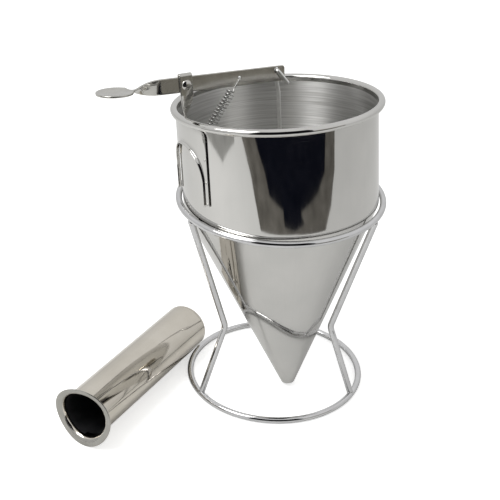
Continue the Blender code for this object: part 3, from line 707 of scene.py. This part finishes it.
# Pivot rivet: two domed heads on one shank
rivet = {"shank": 0.0015, "head": 0.00375, "rise": 0.0016}
bm = bmesh.new()
headBase = earOffset + shared["postThickness"] / 2 + gap
head = arc(0, 0, 1, 0.05, math.pi / 2, 16)
upper = [(rivet["shank"], headBase), (rivet["head"] * 0.96, headBase)]
upper += [(rivet["head"] * x, headBase + rivet["rise"] * y) for x, y in head[:-1]] + [(0, headBase + rivet["rise"])]
spin(bm, [(distance, -height) for distance, height in upper[::-1]] + upper, 64)
heads = finishMesh("pivotRivetHeads", bm, ["lever"], pivotFrame @ Matrix.Rotation(math.pi / 2, 4, "X"))
settle(heads, "funnel", ["pivot_rivet"])
print("stage: lever, post and rivet built")

# Return spring between the lever's hole and the staple
spring = {
    "wire": 0.0005,
    "coil": 0.0031,
    "curls": 19,
    "pointsPerCurl": 28,
    "topClearance": 0.0010,
    "bottomLead": 0.0065,
    "tail": 0.003,
    "stapleWire": 0.0010,
    "stapleHalfWidth": 0.004,
    "stapleBend": 0.002,
    "stapleInset": 0.0039,
    "stapleDrop": 0.0293,
}
stapleBar = Vector((innerRadius - spring["stapleInset"], 0, shared["rimHeight"] - spring["stapleDrop"]))


def springPath():
    down = (stapleBar - springHole).normalized()
    side = down.cross(yAxis)
    length = (stapleBar - springHole).length
    offset = shared["leverThickness"] / 2 + gap + spring["wire"]
    hook = spring["stapleWire"] + gap + spring["wire"]
    belowLever = shared["leverDepth"] / 2 / math.cos(shared["leverTilt"]) + spring["topClearance"]
    topLead = (belowLever + (spring["coil"] + spring["wire"]) * side.z) / -down.z
    path = roundedPath([
        springHole - yAxis * offset + down * spring["tail"],
        springHole - yAxis * offset,
        springHole + yAxis * offset,
        springHole + yAxis * offset + down * (topLead - spring["coil"]),
    ], offset - gap, 10)
    perCurl = spring["pointsPerCurl"]
    coilLength = length - topLead - spring["bottomLead"]
    steps = spring["curls"] * perCurl + perCurl // 4
    coil = []
    for step in range(steps + 1):
        angle = math.tau * step / perCurl
        turn = yAxis * math.cos(angle) + side * math.sin(angle)
        coil.append(springHole + down * (topLead + coilLength * step / steps) + turn * spring["coil"])
    path += joinSmoothly(path[-1], path[-1] - path[-2], coil[0], coil[1] - coil[0], 8) + coil
    hookTurn = []
    for step in range(13):
        angle = math.pi / 2 - math.pi * step / 12
        hookTurn.append(stapleBar + (down * math.cos(angle) + side * math.sin(angle)) * hook)
    path += joinSmoothly(coil[-1], coil[-1] - coil[-2], hookTurn[0], hookTurn[1] - hookTurn[0], 10) + hookTurn
    path.append(path[-1] - down * spring["wire"] * 2)
    return path


def joinSmoothly(start, leaving, end, arriving, steps):
    reach = (end - start).length
    first = leaving.normalized() * reach
    last = arriving.normalized() * reach
    points = []
    for step in range(1, steps):
        t = step / steps
        points.append(start * (2 * t ** 3 - 3 * t ** 2 + 1) + first * (t ** 3 - 2 * t ** 2 + t)
                      + end * (-2 * t ** 3 + 3 * t ** 2) + last * (t ** 3 - t ** 2))
    return points


bm = bmesh.new()
wire(bm, [leverFrame @ point for point in springPath()], spring["wire"], 12)
coilWire = finishMesh("returnSpringWire", bm, ["spring"], Matrix.Identity(4))
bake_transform(coilWire)
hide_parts("return_spring")
bm = bmesh.new()
outerSide = spring["stapleHalfWidth"] + spring["stapleWire"]
stapleFoot = math.sqrt(innerRadius ** 2 - outerSide ** 2) - gap
wire(bm, roundedPath([
    Vector((stapleFoot, -spring["stapleHalfWidth"], stapleBar.z)),
    Vector((stapleBar.x, -spring["stapleHalfWidth"], stapleBar.z)),
    Vector((stapleBar.x, spring["stapleHalfWidth"], stapleBar.z)),
    Vector((stapleFoot, spring["stapleHalfWidth"], stapleBar.z)),
], spring["stapleBend"]), spring["stapleWire"], 20)
staple = finishMesh("springStapleWire", bm, ["spring"], leverFrame)
settle(staple, "funnel", ["spring_anchor"])
print("stage: spring built")

# Valve rod hooked through the lever, and the tapered plug it lifts out of the tip
valve = {
    "sideClearance": 0.0005,
    "tailReach": 0.008,
    "tailDrop": 0.0108,
    "kneeReach": 0.0025,
    "kneeDrop": 0.018,
    "plugRise": 0.0012,
    "plugHeight": 0.009,
    "plugBevel": 0.0012,
    "plugFloor": 0.002,
}
rodBend = shared["rodRadius"] + valve["sideClearance"]
rodOffset = shared["leverThickness"] / 2 + rodBend
plugFloor = valve["plugRise"] + valve["plugFloor"] - shared["tipDrop"]
bm = bmesh.new()
wire(bm, roundedPath([
    Vector((-valve["tailReach"], rodOffset, -valve["tailDrop"])),
    Vector((0, rodOffset, 0)),
    Vector((0, -rodOffset, 0)),
    Vector((-valve["kneeReach"], -rodOffset, -valve["kneeDrop"])),
    Vector((0, 0, plugFloor + valve["plugHeight"] - rodHoleHeight)),
    Vector((0, 0, plugFloor + gap - rodHoleHeight)),
], rodBend), shared["rodRadius"], 24)
rod = finishMesh("valveRodWire", bm, ["rod"], hookFrame)
settle(rod, "plunger", ["plunger_rod"])


def plugRadius(rise):
    return shared["tipRadius"] - (shared["wall"] + gap) / math.cos(coneAngle) + rise * coneSlope


bm = bmesh.new()
low = valve["plugRise"]
high = low + valve["plugHeight"]
bevel = valve["plugBevel"]
spin(bm, [
    (0, low),
    (plugRadius(low) - bevel / 2, low),
    (plugRadius(low + bevel / 2), low + bevel / 3),
    (plugRadius(low + bevel), low + bevel),
    (plugRadius(high - bevel), high - bevel),
    (plugRadius(high) - bevel * 0.6, high - bevel / 3),
    (plugRadius(high) - 2 * bevel, high),
    (shared["rodRadius"] + gap, high),
    (shared["rodRadius"] + gap, low + valve["plugFloor"]),
    (0, low + valve["plugFloor"]),
], 96)
tipFrame = hookFrame @ Matrix.Translation((0, 0, -shared["tipDrop"] - rodHoleHeight))
plug = finishMesh("valvePlugTurned", bm, ["rod"], tipFrame)
settle(plug, "plunger", ["valve_plug"])
print("stage: valve built")

# Loose handle: a tube whose flange follows the funnel's wall, and a pressed cap in its far end
handle = {
    "radius": 0.0192,
    "wall": 0.0008,
    "length": 0.151,
    "flangeThickness": 0.0010,
    "fillet": 0.003,
    "saddle": 0.012,
    "seam": 0.0001,
    "roll": math.radians(64.9),
    "azimuth": math.radians(62.2),
    "endAzimuth": math.radians(154.3),
    "standGap": 0.0006,
    "skirt": 0.004,
    "rounding": 0.004,
    "crown": 0.0012,
    "ripple": 0.00004,
}
layDown = Matrix(((0, 0, 1), (1, 0, 0), (0, 1, 0)))


def rippled(verts, amount, scale):
    for vert in verts:
        away = Vector((vert.co.x, vert.co.y, 0))
        vert.co += away.normalized() * noise.noise(Vector((vert.co.x, vert.co.y, vert.co.z * 0.35)) * scale) * amount


def buildHandle():
    bore = handle["radius"] - handle["wall"]
    flare = handle["fillet"] + handle["wall"]
    thick = handle["flangeThickness"]
    flange = bracket["flangeRadius"]
    lip = 0.00025
    outline = [(flange - lip, 0), (flange, lip), (flange, thick - lip), (flange - lip, thick)]
    fillet = handle["fillet"]
    outline += stretch(outline[-1], (handle["radius"] + fillet, thick), 6)
    outline += arc(handle["radius"] + fillet, thick + fillet, fillet, -math.pi / 2, -math.pi, 16)
    seam = handle["seam"]
    outline += stretch(outline[-1], (handle["radius"], handle["length"] - seam), 70)
    outline += [(handle["radius"], handle["length"] - seam), (handle["radius"] - seam, handle["length"])]
    outline += [(bore, handle["length"])]
    outline += stretch(outline[-1], (bore, flare), 60)
    outline += arc(bore + flare, flare, flare, math.pi, 3 * math.pi / 2, 16)
    bm = bmesh.new()
    spin(bm, outline, 160, closed=True)
    for vert in bm.verts:
        if vert.co.z < handle["saddle"]:
            fade = 1 - ease(max(0, vert.co.z - thick) / (handle["saddle"] - thick))
            sideways = vert.co.x * math.cos(handle["roll"]) + vert.co.y * math.sin(handle["roll"])
            vert.co.z -= fade * sideways ** 2 / (2 * shared["bodyRadius"])
    places = [layDown @ vert.co for vert in bm.verts]
    lowest = min(places, key=lambda place: place.z)
    slope = math.atan((-handle["radius"] - lowest.z) / (handle["length"] - lowest.x))
    dip = Matrix.Rotation(slope, 3, "Y")
    lift = -min((dip @ place).z for place in places)
    turn = Matrix.Rotation(handle["azimuth"], 3, "Z") @ dip
    apart = handle["radius"] + shared["wire"] + handle["standGap"]
    reach = stand["baseRadius"] + math.sqrt(apart ** 2 - (handle["radius"] - shared["wire"]) ** 2)
    end = Matrix.Rotation(handle["endAzimuth"], 3, "Z") @ Vector((reach, 0, 0))
    rest = end - turn @ Vector((handle["length"], 0, 0)) + standAxis
    rest.z = lift
    place = Matrix.Translation(rest) @ (turn @ layDown).to_4x4()
    rippled(bm.verts, handle["ripple"], 30)
    bmesh.ops.recalc_face_normals(bm, faces=bm.faces)
    for face in bm.faces:
        centre = face.calc_center_median()
        inward = face.normal.x * centre.x + face.normal.y * centre.y < 0
        fromAxis = math.hypot(centre.x, centre.y)
        # faces inside the tube take the near-black bore steel, as painted shade
        if inward and centre.z > flare and fromAxis < bore + handle["wall"] / 2:
            face.material_index = 1
        # faces out on the flange take the darker flange copy of the handle steel, as painted shade
        elif fromAxis > handle["radius"] + handle["wall"] / 2:
            face.material_index = 2
    tube = finishMesh("handleTubeShell", bm, ["handle", "handleBorePaintedShade", "flange"], place)
    settle(tube, "handle", ["handle_tube"])
    skirt = bore - gap
    inner = skirt - handle["wall"]
    rounding = handle["rounding"]
    flatRadius = handle["radius"] - rounding
    cap = [(0, handle["wall"]), (inner, handle["wall"]), (inner, -handle["skirt"]), (skirt, -handle["skirt"])]
    cap += [(skirt, gap / 2), (handle["radius"] - seam, gap / 2)]
    cap += arc(flatRadius, gap, rounding, 0.05, math.pi / 2, 20)
    cap += [(flatRadius * (1 - step / 16), gap + rounding + handle["crown"] * ease(step / 16)) for step in range(1, 17)]
    bm = bmesh.new()
    spin(bm, cap, 160)
    capPiece = finishMesh("handleEndCapShell", bm, ["handle"], place @ Matrix.Translation((0, 0, handle["length"])))
    settle(capPiece, "handle", ["handle_end_cap"])


buildHandle()
print("stage: handle built")

# Table: burnt out to white for the camera, plain pale grey in the steel's reflections
studio = {
    "tableHalfWidth": 2.4,
    "tableFront": -2.2,
    "tableBack": 2.4,
    "paper": (0.86, 0.86, 0.85),
    "lift": 0.58,
    "tent": 0.66,
    "tentTop": 0.80,
    "tentLow": 0.64,
    "cardHeight": 0.0004,
}


def stageSheet(name, bm, material, inPicture=False):
    mesh = bpy.data.meshes.new(name)
    bm.to_mesh(mesh)
    bm.free()
    mesh.materials.append(material)
    sheet = bpy.data.objects.new(name, mesh)
    sheet.visible_camera = inPicture
    sheet.visible_diffuse = inPicture
    sheet.visible_shadow = inPicture
    scene.collection.objects.link(sheet)
    sheet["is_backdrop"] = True


def flat(name, outline, height, material, inPicture=False):
    bm = bmesh.new()
    bm.faces.new([bm.verts.new((x, y, height)) for x, y in outline])
    stageSheet(name, bm, material, inPicture)


def tableMaterial():
    material = bpy.data.materials.new("whiteTable")
    material.use_nodes = True
    tree = material.node_tree
    tree.nodes.clear()
    ray = addNode(tree, "ShaderNodeLightPath")
    paper = addNode(tree, "ShaderNodeBsdfDiffuse")
    place = addNode(tree, "ShaderNodeTexCoord").outputs["Object"]
    tone = addNode(tree, "ShaderNodeMix", data_type="RGBA")
    tree.links.new(rangeNode(tree, noiseNode(tree, place, 3.0), 0, 1), tone.inputs["Factor"])
    tone.inputs["A"].default_value = (*studio["paper"], 1)
    tone.inputs["B"].default_value = (*(share * 0.97 for share in studio["paper"]), 1)
    tree.links.new(tone.outputs["Result"], paper.inputs["Color"])
    glow = addNode(tree, "ShaderNodeEmission")
    tree.links.new(mathNode(tree, "MULTIPLY", ray.outputs["Is Camera Ray"], studio["lift"]), glow.inputs["Strength"])
    both = addNode(tree, "ShaderNodeAddShader")
    tree.links.new(paper.outputs[0], both.inputs[0])
    tree.links.new(glow.outputs[0], both.inputs[1])
    out = addNode(tree, "ShaderNodeOutputMaterial")
    tree.links.new(both.outputs[0], out.inputs["Surface"])
    return material


def cardMaterial(name, dark, pale):
    material = bpy.data.materials.new(name)
    material.use_nodes = True
    tree = material.node_tree
    shader = tree.nodes["Principled BSDF"]
    place = addNode(tree, "ShaderNodeTexCoord").outputs["Object"]
    tone = addNode(tree, "ShaderNodeMix", data_type="RGBA")
    tree.links.new(rangeNode(tree, noiseNode(tree, place, 9.0), 0, 1), tone.inputs["Factor"])
    tone.inputs["A"].default_value = (*dark, 1)
    tone.inputs["B"].default_value = (*pale, 1)
    tree.links.new(tone.outputs["Result"], shader.inputs["Base Color"])
    shader.inputs["Roughness"].default_value = 1
    shader.inputs["Specular IOR Level"].default_value = 0
    return material


width = studio["tableHalfWidth"]
front = studio["tableFront"]
back = studio["tableBack"]
flat("table", [(-width, front), (width, front), (width, back), (-width, back)], 0, tableMaterial(), inPicture=True)

# Cards and boards before the object, which no camera sees but its polished metal mirrors:
# each stop is a distance from the stand's axis and an angle from straight ahead, to the right
cards = {
    "greyFlag": {
        "stops": [(0.68, -84), (0.68, -63), (0.85, -48), (1.5, -48), (1.5, -84)],
        "dark": (0.30, 0.30, 0.29), "pale": (0.40, 0.40, 0.385),
    },
    "brownBand": {
        "stops": [(1.55, -46), (0.95, -40), (0.80, -31), (0.60, -22), (0.67, 14),
                  (0.68, 46), (0.80, 54), (1.00, 60), (1.55, 63)],
        "dark": (0.12, 0.112, 0.10), "pale": (0.21, 0.198, 0.178),
    },
    "darkCard": {
        "stops": [(1.55, -30), (1.05, -25), (0.90, -16), (0.80, -12), (0.78, 2), (0.70, 3),
                  (0.70, 14), (0.75, 24), (0.80, 20), (0.92, 40), (1.05, 48), (1.55, 52)],
        "dark": (0.004, 0.005, 0.010), "pale": (0.010, 0.011, 0.018),
    },
}
boards = {
    "frontBoard": {"distance": 1.6, "from": -30, "to": 34, "top": 2.2,
                   "dark": (0.006, 0.006, 0.008), "pale": (0.016, 0.016, 0.018)},
    "sideBoard": {"distance": 1.6, "from": 34, "to": 70, "top": 0.42,
                  "dark": (0.28, 0.265, 0.23), "pale": (0.42, 0.40, 0.355)},
}


def ahead(distance, angle):
    turned = math.radians(angle)
    return standAxis.x + distance * math.sin(turned), standAxis.y - distance * math.cos(turned)


for number, (name, card) in enumerate(cards.items()):
    outline = []
    for (distance, angle), (nextDistance, nextAngle) in zip(card["stops"], card["stops"][1:] + card["stops"][:1]):
        for step in range(12):
            share = step / 12
            outline.append(ahead(distance + (nextDistance - distance) * share, angle + (nextAngle - angle) * share))
    flat(name, outline, studio["cardHeight"] * (number + 1), cardMaterial(name + "Paper", card["dark"], card["pale"]))
for name, board in boards.items():
    bm = bmesh.new()
    columns = []
    for step in range(25):
        x, y = ahead(board["distance"], board["from"] + (board["to"] - board["from"]) * step / 24)
        columns.append((bm.verts.new((x, y, 0)), bm.verts.new((x, y, board["top"]))))
    for (low, high), (nextLow, nextHigh) in zip(columns, columns[1:]):
        bm.faces.new((low, nextLow, nextHigh, high))
    stageSheet(name, bm, cardMaterial(name + "Paper", board["dark"], board["pale"]))

# Light: an even pale tent, and one soft lamp above on the left for the shine
world = bpy.data.worlds.new("tent")
scene.world = world
world.use_nodes = True
tree = world.node_tree
tree.nodes.clear()
ray = addNode(tree, "ShaderNodeLightPath")
direction = addNode(tree, "ShaderNodeSeparateXYZ")
tree.links.new(addNode(tree, "ShaderNodeTexCoord").outputs["Generated"], direction.inputs[0])
rise = addNode(tree, "ShaderNodeMapRange")
tree.links.new(direction.outputs["Z"], rise.inputs["Value"])
rise.inputs["From Min"].default_value = -0.1
rise.inputs["From Max"].default_value = 0.6
rise.inputs["To Min"].default_value = studio["tentLow"]
rise.inputs["To Max"].default_value = studio["tentTop"]
isSeen = ray.outputs["Is Camera Ray"]
isMirrored = mathNode(tree, "MAXIMUM", ray.outputs["Is Glossy Ray"], ray.outputs["Is Transmission Ray"])
mirrored = mathNode(tree, "MULTIPLY", isMirrored, rise.outputs["Result"])
unmirrored = mathNode(tree, "MULTIPLY", mathNode(tree, "SUBTRACT", 1.0, isMirrored), studio["tent"])
lit = mathNode(tree, "ADD", mirrored, unmirrored)
strength = mathNode(tree, "MAXIMUM", isSeen, lit)
white = addNode(tree, "ShaderNodeBackground")
white.inputs["Color"].default_value = (1, 1, 1, 1)
tree.links.new(strength, white.inputs["Strength"])
out = addNode(tree, "ShaderNodeOutputWorld")
tree.links.new(white.outputs[0], out.inputs["Surface"])

lamp = {"place": (-0.55, -0.25, 0.95), "size": 0.5, "power": 5.0, "aim": (0.04, 0.01, 0.14)}
softBox = bpy.data.lights.new("softBox", "AREA")
softBox.energy = lamp["power"]
softBox.size = lamp["size"]
softLamp = bpy.data.objects.new("softBox", softBox)
scene.collection.objects.link(softLamp)
softLamp.location = lamp["place"]
softLamp.rotation_mode = "QUATERNION"
softLamp.rotation_quaternion = (Vector(lamp["aim"]) - Vector(lamp["place"])).to_track_quat("-Z", "Y")

# Camera
view = {
    "fromAxis": (-0.03612, -0.76309, 0.53844),
    "yaw": math.radians(1.0),
    "pitch": math.radians(28.95),
    "roll": math.radians(1.40),
    "lensPerFrame": 1101.7 / 500,
    "sensor": 36.0,
}
yaw, pitch, roll = view["yaw"], view["pitch"], view["roll"]
forward = Vector((math.sin(yaw) * math.cos(pitch), math.cos(yaw) * math.cos(pitch), -math.sin(pitch)))
right = Vector((math.cos(yaw), -math.sin(yaw), 0))
up = right.cross(forward)
tiltedRight = right * math.cos(roll) + up * math.sin(roll)
tiltedUp = up * math.cos(roll) - right * math.sin(roll)
camera = bpy.data.cameras.new("photoCamera")
camera.sensor_width = view["sensor"]
camera.lens = view["lensPerFrame"] * view["sensor"]
camera.clip_start = 0.01
photoCamera = bpy.data.objects.new("photoCamera", camera)
scene.collection.objects.link(photoCamera)
axes = Matrix((tiltedRight, tiltedUp, -forward)).transposed()
photoCamera.matrix_world = Matrix.Translation(standAxis + Vector(view["fromAxis"])) @ axes.to_4x4()
scene.camera = photoCamera
scene.view_settings.view_transform = "Standard"
print("stage: light and camera set")

low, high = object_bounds()
